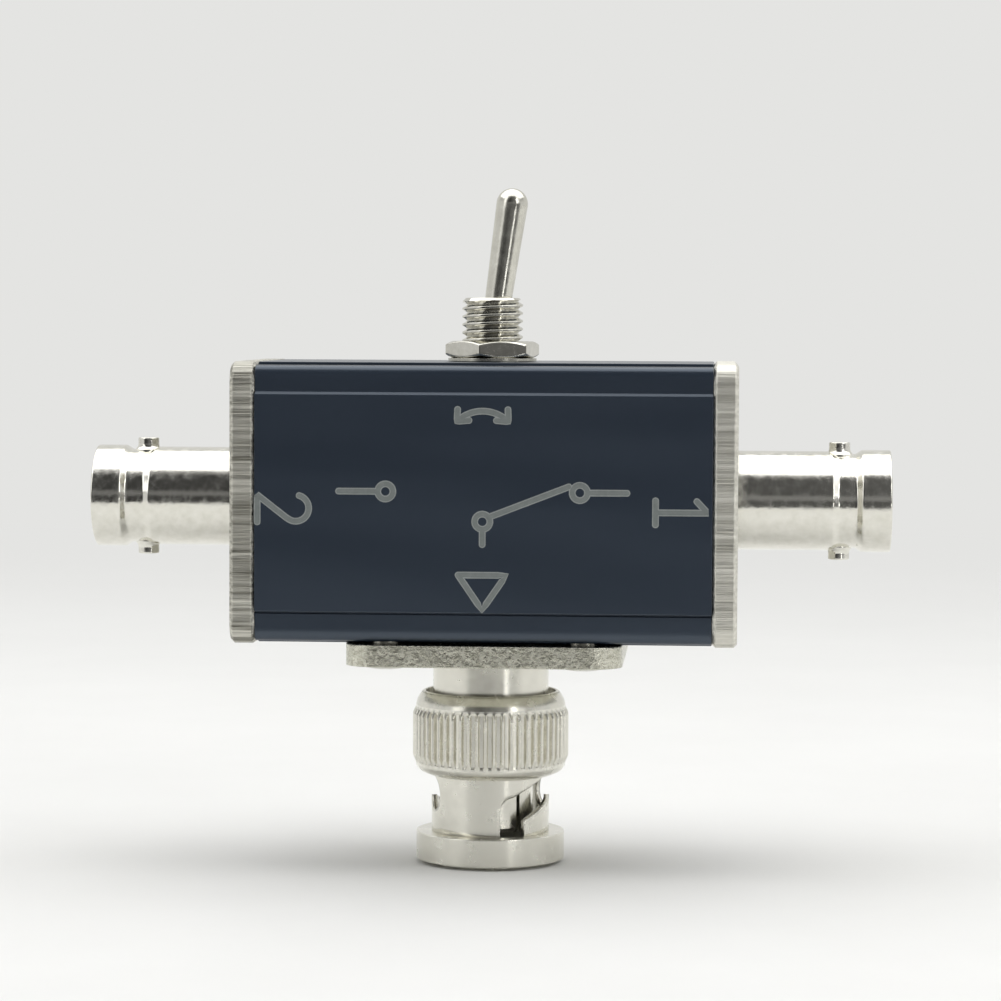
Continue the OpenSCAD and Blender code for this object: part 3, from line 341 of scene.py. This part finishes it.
def jack(side, name):
    """A closed outline of (radius, distance from the mouth) turned about the jack's axis: bore,
    mouth, lug groove, cone, tube, rivet. Each lug is a round stud with a small flare at its foot."""
    lug_at = 4.8
    outline = soften(
        [[2.37, 8.4], [4.075, 8.4], [4.075, 0.16], [4.24, 0], [4.83, 0], [4.83, 2.7], [4.45, 3.3],
         [4.45, 4.9], [4.68, 5.5], [4.68, 14.4], [4.0, 14.4], [4.0, 16.7], [4.6, 16.7],
         [4.6, 17.5], [2.37, 17.5]],
        [0.02, 0.15, 0.06, 0.06, 0.18, 0.12, 0.14, 0.14, 0.1, 0.02, 0.02, 0.02, 0.05, 0.05, 0.02], 6)
    outline[:, 1] = MOUTH_X - outline[:, 1]
    stud = soften([[0, 5.55], [1.0, 5.55], [1.0, 4.72], [1.3, 4.4], [1.3, 4.1], [0, 4.1]],
                  [0, 0.14, 0.25, 0.05, 0, 0], 6, closed=False)
    x, y, z = np.moveaxis(turned(stud, 48), -1, 0)
    lugs = [grid_of(way * z, y, MOUTH_X - lug_at + x) for way in (-1, 1)]
    patches = [to_side(points, side) for points in [turned(outline, 160), *lugs]]
    piece("jack_body_" + name, patches, nickel_x, stands_for=["jack_barrel_" + name])


# ---------------------------------------------------------------- toggle switch

def tilt(points):
    """Turns points drawn upright about the lever's pin to its resting place, 8 degrees to the right."""
    lean = np.radians(8)
    c, s = np.cos(lean), np.sin(lean)
    x, y, z = np.moveaxis(points, -1, 0)
    return grid_of(c * x + s * z, y, PIVOT_Z - s * x + c * z)


def lever():
    """An outline of (radius, height above the pin) turned about the lever's axis: the lower arm,
    the ball r = sqrt(4 - z^2), the stem that widens to the tip, the round end, and the blind bore
    for the spring."""
    z = np.linspace(-1.6, 1.56, 24)
    ball = np.stack([np.sqrt(4 - z**2), z], 1)
    a = np.linspace(0, TURN / 4, 18)
    tip_r, tip_z = 1.5, 13.0
    tip = np.stack([tip_r * np.cos(a), tip_z + tip_r * np.sin(a)], 1)
    arm = [[0.8, -7], [1.2, -7], [1.2, -1.62]]
    stem = [[1.25, 1.6], [1.25, 3.0], [1.29, 4.6], [1.37, 8.0], [1.48, 12.4]]
    bore = [[0, -2.6], [0.8, -2.6], [0.8, -7]]
    line = np.vstack([arm, ball, stem, tip, bore])
    piece("lever", [tilt(turned(line, 72))], nickel_lever, "lever", ["switch_lever"])


def bushing():
    """A single-start thread: radius = root + depth * ridge(z / pitch - angle / turn), where ridge is
    a triangle with a flat top, held down by a cone at the upper rim and cut back along a keyway."""
    root, depth, pitch = 2.47, 0.43, 0.75
    a = np.linspace(0, TURN, 181)[None, :]
    plain_z, thread_z = np.linspace(45.3, 49.3, 12), np.linspace(49.4, BUSHING_TOP, 110)
    z = np.concatenate([plain_z, thread_z])[:, None]
    phase = ((z - 0.13) / pitch - a / TURN) % 1
    ridge = np.clip(1.35 - 2.97 * np.abs(phase - 0.5), 0, 1)
    cone = 2.55 + BUSHING_TOP - z
    r = np.minimum(root + depth * ridge, cone)
    keyway = (np.abs(np.sin(a)) * 2.7 < 0.5) & (np.cos(a) < 0)
    r = np.where(keyway, np.minimum(r, 2.45), r)
    rim = np.array([[2.28, BUSHING_TOP], [2.16, BUSHING_TOP - 0.05], [2.1, BUSHING_TOP - 0.15],
                    [2.1, 44.8], [2.5, 44.8], [2.5, 45.3]])
    outer, inner = around(r, a, z), around(rim[:, :1], a, rim[:, 1:])
    grid = np.concatenate([outer, inner, outer[:1]])
    piece("threaded_bushing", [grid], nickel_fine, "box", ["switch_bushing"], sharp=60)


def hex_nut():
    """Six flats as a smooth maximum, r = 4 / (sum max(0, cos(a - a_i))^p)^(1/p), held inside a cone
    at each face by a smooth minimum, so that the cone's edge draws the usual arcs on the flats."""
    bottom, high, half_flats, p, blend = TOP_Z + 0.32, 1.6, 4.0, 90, 0.035
    a = np.linspace(0, TURN, 361)[None, :]
    middle = np.radians(-71.8 + 60 * np.arange(6))[:, None, None]
    flats = half_flats / (np.maximum(0, np.cos(a - middle)) ** p).sum(0) ** (1 / p)
    z = high * (0.5 - 0.5 * np.cos(np.linspace(0, np.pi, 26)))[:, None]
    cone = 3.85 + 2.2 * np.minimum(z, high - z)
    least = np.exp(-(flats - half_flats) / blend) + np.exp(-(cone - half_flats) / blend)
    r = half_flats - blend * np.log(least)
    bore = soften([[3.5, high], [2.92, high], [2.92, 0], [3.5, 0]], [0, 0.2, 0.2, 0], 4, closed=False)
    outer, inner = around(r, a, bottom + z), around(bore[:, :1], a, bottom + bore[:, 1:])
    grid = np.concatenate([outer, inner, outer[:1]])
    piece("hexagon_nut", [grid], nickel_fine, "box", ["switch_nut"], sharp=50)


def coil_spring():
    """A round wire carried round a helix of five turns inside the lever's lower arm, its ends closed
    to a point: x = (R + w cos b) cos a, y = (R + w cos b) sin a, z = rise(a) + w sin b."""
    top, length, wire, coil, turns = -2.62, 2.61, 0.11, 0.61, 5
    along = np.linspace(0, turns, turns * 28 + 1)
    along = np.concatenate([[0], along, [turns]])[:, None]
    w = np.full(along.shape, wire)
    w[[0, -1]] = 0
    b = np.linspace(0, TURN, 13)[None, :]
    rise = top - length + wire + (length - 2 * wire) * along / turns
    grid = around(coil + w * np.cos(b), TURN * along, rise + w * np.sin(b))
    made = piece("coil_spring", [tilt(grid)], plated_steel, "lever", ["lever_spring"],
                 sharp=60)
    seat = tilt(np.array([0, 0, top])) * MM
    upward = tilt(np.array([0, 0, 1.0])) - tilt(np.zeros(3))
    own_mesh(made)


# ---------------------------------------------------------------- plug

def flange():
    """A square with round corners, which are four quarter circles joined by straight sides. It is
    carried up through rows that step in at both rims and close to a point in the middle of each
    face. The plug's neck is an outline of (radius, height) turned about Z below it."""
    half, corner, half_thick = 12.8, 3.0, 1.0
    a = np.radians(np.concatenate([np.linspace(q, q + 90, 13) for q in (0, 90, 180, 270)]))
    middles = (half - corner) * np.repeat([[1, 1], [-1, 1], [-1, -1], [1, -1]], 13, 0)
    loop = middles + corner * np.stack([np.cos(a), np.sin(a)], 1)
    x, y = np.vstack([loop, loop[:1]]).T
    rows = soften([[0, -1], [1, -1], [1, 1], [0, 1]], [0, 0.018, 0.014, 0], 7, closed=False)
    rows = np.vstack([[[0, -1], [0.5, -1]], rows[rows[:, 0] > 0.5], [[0.5, 1], [0, 1]]])
    scale, z = rows[:, :1], FLANGE_Z + half_thick + half_thick * rows[:, 1:]
    piece("flange", [grid_of(scale * x, scale * y, z)], cast_nickel, "box", ["plug_flange"])
    neck = soften([[5.02, 16.0], [5.5, 16.0], [5.5, 19.72], [5.8, 19.72], [5.8, 19.9], [5.02, 19.9]],
                  [0.02, 0.1, 0.12, 0, 0, 0.02], 5)
    piece("plug_neck", [turned(neck, 120)], nickel_z, "box")


def wave_washer():
    """A flat ring bent into three even waves: a small rectangle of (radius, height) is carried round
    Z and goes up and down as 0.325 (1 - cos 3a)."""
    foot, waves, half_wave = 13.62, 3, 0.325
    section = soften([[5.2, 0], [6.0, 0], [6.0, 0.3], [5.2, 0.3]], 0.05, 4)
    r, z = section.T[:, None, :]
    a = np.linspace(0, TURN, 121)[:, None]
    grid = around(r, a, foot + z + half_wave * (1 - np.cos(waves * a)))
    made = piece("wave_washer", [grid], plated_steel, "box", ["spring_washer"])
    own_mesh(made)


# ---------------------------------------------------------------- coupling nut

SLOT_START = -64.0  # middle of the first slot's entry, in degrees from +X
ENTRY, RAMP, HOLE = 12.8, 85.0, 14.36  # half an entry, the climb to a hole, half a hole, in degrees
LUG_WAY = 5.65  # radius of the way that the lugs go in by


def ease(x):
    """A smooth step: 3x^2 - 2x^3 between 0 and 1."""
    x = np.clip(x, 0, 1)
    return x * x * (3 - 2 * x)


def nut_band():
    """The knurled band and the rounded shoulders on both sides of it. An outline of (radius, height)
    is turned about Z, and between the shoulders each rib adds a rounded ridge,
    0.3 * ridge(56 a) * ease at both ends, with a shallow valley between ribs that stops short.
    The ridge takes half of the pitch: sqrt(1 - (off its middle / its half width)^2)."""
    ribs, rib_h, valley, half_rib, wall_r = 56, 0.3, 0.1, 0.24, 7.12
    low = soften([[5.15, 8.3], [5.75, 8.36], [6.78, 8.78], [7.11, 9.25]], [0, 0.25, 0.3, 0], 5,
                 closed=False)
    heights = np.concatenate([np.linspace(9.36, 10.5, 20), np.linspace(10.7, 13.8, 14),
                              np.linspace(13.9, 15.06, 20)])
    wall = np.stack([np.full(len(heights), wall_r), heights], 1)
    dome = soften([[7.11, 15.1], [7.02, 15.5], [6.72, 16.05], [6.42, 16.4], [6.2, 16.36],
                   [6.2, 12.4], [5.15, 12.4], [5.15, 8.3]],
                  [0, 0.2, 0.25, 0.16, 0.05, 0.05, 0.05, 0], 6, closed=False)
    r, z = np.vstack([low, wall, dome]).T[:, :, None]
    a = np.linspace(0, TURN, ribs * 14 + 1)[None, :]
    off = np.abs((ribs * a / TURN + 0.5) % 1 - 0.5)
    ridge = np.sqrt(np.clip(1 - (off / half_rib) ** 2, 0, 1))
    on_wall = (r > 7.0) & (z > 9.3) & (z < 15.08)
    rise = ease((z - 9.4) / 0.95) * ease((15.02 - z) / 0.9)
    pocket = ease((z - 9.62) / 0.12) * ease((14.8 - z) / 0.12)
    added = rib_h * ridge * rise - valley * pocket * (1 - np.clip(ridge * 2, 0, 1))
    grid = around(np.where(on_wall, r + added, r), a, z)
    piece("nut_band", [grid], nickel_z, "coupling_nut", ["coupling_nut"], sharp=60)


def nut_ring():
    """The front ring: an outline of (radius, height) turned about Z. Its bore steps out to the lugs'
    way, radius 5.65, over 2.5 mm at each slot's entry."""
    line = soften([[5.2, 0], [5.8, 0], [5.8, 0.35], [7.05, 0.35], [7.05, 3.0], [4.9, 3.0],
                   [4.9, 0.3]], [0.03, 0.05, 0.03, 0.09, 0.11, 0.04, 0.05], 6)
    r, z = line.T[:, :, None]
    middle = np.radians([SLOT_START, SLOT_START + 180])
    beside = np.radians([-ENTRY - 0.1, -ENTRY + 0.1, ENTRY - 0.1, ENTRY + 0.1])
    edges = (middle[:, None] + beside).ravel() % TURN
    a = np.sort(np.concatenate([np.linspace(0, TURN, 181), edges]))[None, :]
    off = np.abs(np.sin(a - middle[0])) * LUG_WAY
    r = np.where((off < 1.26) & (r < 5.5), LUG_WAY, r)
    piece("nut_ring", [around(r, a, z)], nickel_z, "coupling_nut")


def nut_waist():
    """The wall between ring and band, with two bayonet slots. With s the turn past an entry's middle,
    a slot's middle climbs as 5.3 + 2.6 (1 - (1 - s / 85)^1.6), its upper and lower edges stay 1.4
    above and below it, the entry is open downwards, and the slot ends in a round locking hole
    that reaches lower. The wall is one strip below the two edges and one above, given its
    thickness inwards."""
    outer, thick, foot, head, half_w = 5.6, 0.5, 2.9, 8.42, 1.4
    hole_z, hole_up, seam_z = 6.5, 1.84, 4.1
    s = np.concatenate([[-12.95], np.linspace(-ENTRY, ENTRY - 0.1, 30),
                        np.linspace(ENTRY + 0.1, 70, 40),
                        RAMP + HOLE * np.sin(np.linspace(-1, 1, 41) * TURN / 4),
                        np.linspace(100.2, 167.05, 24)])
    climb = 5.3 + 2.6 * (1 - (1 - np.clip(s / RAMP, 0, 1)) ** 1.6)
    over = (s - RAMP) / HOLE
    hole = np.sqrt(np.clip(1 - over**2, 0, 1))
    round_end = np.sqrt(np.clip(1 - np.clip(-s / ENTRY, 0, 1) ** 2, 0, 1))
    top = np.minimum(climb + half_w * round_end, hole_z + hole_up)
    top = np.where(s > RAMP, hole_z + hole_up * hole, top)
    under = np.where(np.abs(over) < 1, np.minimum(climb - half_w, hole_z - half_w * hole),
                     climb - half_w)
    under = np.where(s > RAMP, hole_z - half_w * hole, under)
    under = np.where(s < ENTRY, foot, under)
    solid = (s > 99.4) | (s < -12.9)
    seam = hole_z - (hole_z - seam_z) * (s - 99.36) / 67.7
    top, under = np.where(solid, seam, top), np.where(solid, seam, under)
    top[0] = under[0] = seam_z
    t = np.linspace(0, 1, 6)[:, None]
    strips = foot + (under - foot) * t, np.vstack([top + (head - top) * t, 8.9 + 0 * top[None, :]])
    turns = [np.radians(s + SLOT_START + half)[None, :] for half in (0, 180)]
    patches = [around(outer, a, z) for a in turns for z in strips]
    made = piece("nut_waist", patches, nickel_z, "coupling_nut", sharp=50)
    wall = made.modifiers.new("wall", "SOLIDIFY")
    wall.thickness, wall.offset, wall.use_even_offset = thick * MM, -1, False


# ---------------------------------------------------------------- marks on the front

def stroke(line, width, height):
    """A flat raised stroke along a line of (x, z) on the front: at each point the section steps out
    to half the width on both sides and up to the height, which grows by a hair from start to end
    so that no crossing is level, and the width shrinks as sqrt(1 - u^2) over each round end."""
    p, cap = np.asarray(line, float), 6
    step = np.gradient(p, axis=0)
    step /= np.linalg.norm(step, axis=1, keepdims=True)
    u = np.linspace(1, 0, cap + 1)[:-1, None]
    p = np.vstack([p[:1] - step[:1] * width / 2 * u, p, p[-1:] + step[-1:] * width / 2 * u[::-1]])
    shrink = np.sqrt(1 - u[:, 0] ** 2)
    share = np.concatenate([shrink, np.ones(len(line)), shrink[::-1]])
    step = np.vstack([np.repeat(step[:1], cap, 0), step, np.repeat(step[-1:], cap, 0)])
    side = np.stack([-step[:, 1], step[:, 0]], 1) * (share * width / 2)[:, None]
    base, top = -SKIN + 0 * share, -SKIN - np.linspace(height, height + 0.0008, len(share))
    near, far = p - side, p + side
    corners = [(near, base), (near, top), (far, top), (far, base), (near, base)]
    return np.stack([grid_of(q[:, 0], y, MID_Z + q[:, 1]) for q, y in corners], 1)


def arc(centre, radius, start, end, steps=24):
    """Points on a circle from one angle to another, in degrees."""
    a = np.radians(np.linspace(start, end, steps))
    return np.stack([centre[0] + radius * np.cos(a), centre[1] + radius * np.sin(a)], 1)


def straight(*points):
    """Points every sixth of each straight piece, with corners kept."""
    p = np.array(points, float)
    t = np.linspace(0, 1, 7)[None, :, None]
    line = (p[:-1, None] * (1 - t) + p[1:, None] * t).reshape(-1, 2)
    return line[np.r_[True, np.abs(np.diff(line, axis=0)).sum(1) > 1e-9]]


def clockwise(line, centre):
    """Turns a drawing a quarter clockwise and puts it at a centre."""
    return np.stack([line[:, 1] + centre[0], -line[:, 0] + centre[1]], 1)


def marks():
    """Plain numbers beside the jacks, a changeover sign across the middle, a two-way arrow near
    the toggle and a triangle near the plug, each a light rim with a darker filling on it."""
    two = np.vstack([arc((0, 1.15), 1.2, 165, -35, 22), straight((0.85, 0.25), (-1.2, -2.4)),
                     straight((-1.1, -2.4), (1.3, -2.4))])
    one = straight((-0.9, 1.35), (0.15, 2.35), (0.15, -2.4))
    one_foot = straight((-0.95, -2.4), (1.25, -2.4))
    left, right = (-18.3, -0.4), (18.2, -0.4)
    numbers = [clockwise(two, left), clockwise(one, right), clockwise(one_foot, right)]
    changeover = [
        straight((-13.2, 1.2), (-9.6, 1.2)), arc((-8.9, 1.2), 0.7, 180, 540),
        arc((8.9, 1.2), 0.7, 0, 360), straight((13.2, 1.2), (9.6, 1.2)),
        arc((0, -1.5), 0.7, 90, 450), straight((0.55, -1.1), (7.9, 1.75)),
        straight((0, -2.2), (0, -3.6)),
    ]
    arrow = [arc((0, 5.2), 3.4, 130, 50), straight((-2.3, 8.75), (-2.35, 7.65), (-1.25, 7.75)),
             straight((2.3, 8.75), (2.35, 7.65), (1.25, 7.75))]
    triangle = [straight((-2.2, -6.4), (2.2, -6.4), (0, -9.6), (-2.2, -6.4))]
    lines = [*numbers, *changeover, *arrow, *triangle]
    for name, width, height, finish in (("mark_rims", 0.62, 0.006, mark_rim),
                                        ("mark_fillings", 0.42, 0.016, mark_fill)):
        strokes = [stroke(line, width, height + 0.001 * i) for i, line in enumerate(lines)]
        piece(name, strokes, finish, sharp=20)


flange()
nut_band()
nut_ring()
nut_waist()
marks()
body_tube()
jack(-1, "left")
jack(1, "right")
lever()
bushing()
hex_nut()
coil_spring()
wave_washer()


# ---------------------------------------------------------------- floor, light and camera

# Matt photo paper: faint fibre relief. Far behind the object it turns into the plain pale
# background, which the nickel mirrors too.
paper = material("matt_paper_sweep", ("#e6e6e4", "#eaeae8"), (0.75, 0.85), 0.0, 40.0,
                 [(0.8, 0.01, EVEN)])
tree = paper.node_tree
place = add(tree, "TexCoord").outputs["Object"]
depth = add(tree, "SeparateXYZ", None, {"Vector": place}).outputs["Y"]
far = add(tree, "MapRange", SMOOTH, {"Value": depth, "From Min": 0.02, "From Max": 0.5})
rays = add(tree, "LightPath").outputs
seen = add(tree, "Math", {"operation": "MAXIMUM"},
           {0: rays["Is Camera Ray"], 1: rays["Is Glossy Ray"]})
seen = add(tree, "Math", {"operation": "MAXIMUM"},
           {0: seen.outputs[0], 1: rays["Is Transmission Ray"]})
share = add(tree, "Math", {"operation": "MULTIPLY"}, {0: seen.outputs[0], 1: far.outputs["Result"]})
pale = add(tree, "Emission", None, {"Color": linear("#e4e4e2"), "Strength": 1.0})
output = tree.nodes["Material Output"]
lit = output.inputs["Surface"].links[0].from_socket
blend = add(tree, "MixShader", None, {0: share.outputs[0], 1: lit, 2: pale.outputs[0]})
tree.links.new(blend.outputs[0], output.inputs["Surface"])

# The sweep: a flat floor, a quarter turn of 400 mm radius half a metre behind, and a tall back
bend = np.linspace(0, TURN / 4, 24)
across = np.linspace(-2500, 2500, 3)[:, None]
sweep_y = np.concatenate([[-135], 500 + 400 * np.sin(bend), [900]])
sweep_z = np.concatenate([[0], 400 - 400 * np.cos(bend), [2500]])
piece("paper_sweep", [grid_of(across, sweep_y, sweep_z)], paper, body=None)


def lamp(name, at, look, size, radiance):
    """A soft panel of a size in metres. Its power is radiance * pi * area."""
    data = bpy.data.lights.new(name, "AREA")
    data.shape = "RECTANGLE"
    data.size, data.size_y = size
    data.energy = radiance * np.pi * size[0] * size[1]
    made = bpy.data.objects.new(name, data)
    ahead = np.array(look, float) - at
    ahead /= np.linalg.norm(ahead)
    side = np.cross(ahead, (0, 0, 1) if abs(ahead[2]) < 0.99 else (0, 1, 0))
    side /= np.linalg.norm(side)
    axes = np.array([side, np.cross(side, ahead), -ahead]).T
    made.matrix_world = Matrix([[*row, place] for row, place in zip(axes, at)] + [[0, 0, 0, 1]])
    made.visible_camera = False
    scene.collection.objects.link(made)


lamp("overhead_panel", (0, 0.11, 0.60), (0, 0.11, 0), (1.6, 0.78), 1.5)
# A narrow strip in two lengths draws the upright highlight right of the middle
lamp("side_strip_low", (0.2345, -0.3415, -0.008), (0, 0, 0.0), (0.046, 0.055), 4.0)
lamp("side_strip_high", (0.266, -0.317, 0.205), (0, 0, 0.05), (0.028, 0.25), 6.0)
lamp("right_softbox", (0.42, -0.36, 0.36), (0, 0, 0.03), (0.22, 0.5), 1.1)
lamp("left_softbox", (-0.42, -0.36, 0.36), (0, 0, 0.03), (0.22, 0.5), 1.1)

# The room is pale all round except in front, where a dark cloth hangs behind the camera. That dark
# patch is what draws the dark bands along the nickel.
world = bpy.data.worlds.new("studio_room")
world.use_nodes = True
room = world.node_tree
room.nodes.clear()
way = add(room, "TexCoord").outputs["Generated"]
parts = add(room, "SeparateXYZ", None, {"Vector": way}).outputs
# The cloth is an oval: off is 1 along its edge, and more than 1 everywhere behind the object
off = add(room, "VectorMath", {"operation": "SUBTRACT"}, {0: way, 1: (0.1, 0, 0)})
off = add(room, "VectorMath", {"operation": "MULTIPLY"}, {0: off.outputs[0], 1: (1 / 0.8, 0, 1 / 0.88)})
off = add(room, "VectorMath", {"operation": "LENGTH"}, {0: off.outputs[0]}).outputs["Value"]
behind = add(room, "MapRange", None, {"Value": parts["Y"], "From Min": -0.3, "From Max": 0.1,
                                      "To Min": 0.0, "To Max": 2.0})
off = add(room, "Math", {"operation": "MAXIMUM"}, {0: off, 1: behind.outputs["Result"]})
# The cloth is a little lighter towards the right, and a shelf of it catches light near the horizon
cloth = add(room, "MapRange", None, {"Value": parts["X"], "From Min": -0.2, "From Max": 0.2,
                                     "To Min": 0.05, "To Max": 0.15})
shelf = add(room, "MapRange", SMOOTH, {"Value": parts["Z"], "From Min": 0.26, "From Max": 0.2,
                                       "To Min": 0.0, "To Max": 0.13})
shelf_foot = add(room, "MapRange", SMOOTH, {"Value": parts["Z"], "From Min": 0.02, "From Max": 0.06})
shelf = add(room, "Math", {"operation": "MULTIPLY"},
            {0: shelf.outputs["Result"], 1: shelf_foot.outputs["Result"]})
cloth = add(room, "Math", {"operation": "ADD"}, {0: cloth.outputs["Result"], 1: shelf.outputs[0]})
wall = add(room, "MapRange", SMOOTH, {"Value": parts["Z"], "From Min": 0.15, "From Max": 0.5,
                                      "To Min": 0.76, "To Max": 0.55})
light = add(room, "MapRange", SMOOTH, {"Value": off.outputs[0], "From Min": 0.9, "From Max": 1.1,
                                       "To Min": cloth.outputs[0], "To Max": wall.outputs["Result"]})
glow = add(room, "Background", None, {"Color": linear("#ffffff"), "Strength": light.outputs["Result"]})
add(room, "OutputWorld", None, {"Surface": glow.outputs["Background"]})
scene.world = world

# The camera stands 0.32 m away, 3.65 degrees round to the right and tilted 3.05 degrees down. Its
# focal length is 3365.6 pixels on a picture 1001 pixels wide.
yaw, pitch, roll = np.radians([3.65, 3.05, 0.275])
spot = np.array([0.83, -319.8, 51.5])
turn = np.array([[np.cos(yaw), -np.sin(yaw), 0], [np.sin(yaw), np.cos(yaw), 0], [0, 0, 1]])
tip = np.array([[1, 0, 0], [0, np.sin(pitch), np.cos(pitch)], [0, -np.cos(pitch), np.sin(pitch)]])
level, upright, back = (turn @ tip.T).T
image_x = np.cos(roll) * level + np.sin(roll) * upright
image_y = -np.sin(roll) * level + np.cos(roll) * upright
camera_data = bpy.data.cameras.new("camera")
camera_data.sensor_width, camera_data.lens = 36, 3365.6 / 1001 * 36
camera_data.clip_start, camera_data.clip_end = 0.01, 20
camera = bpy.data.objects.new("camera", camera_data)
axes = np.array([image_x, image_y, back, turn @ spot * MM]).T
camera.matrix_world = Matrix([*axes.tolist(), [0, 0, 0, 1]])
scene.collection.objects.link(camera)
scene.camera = camera
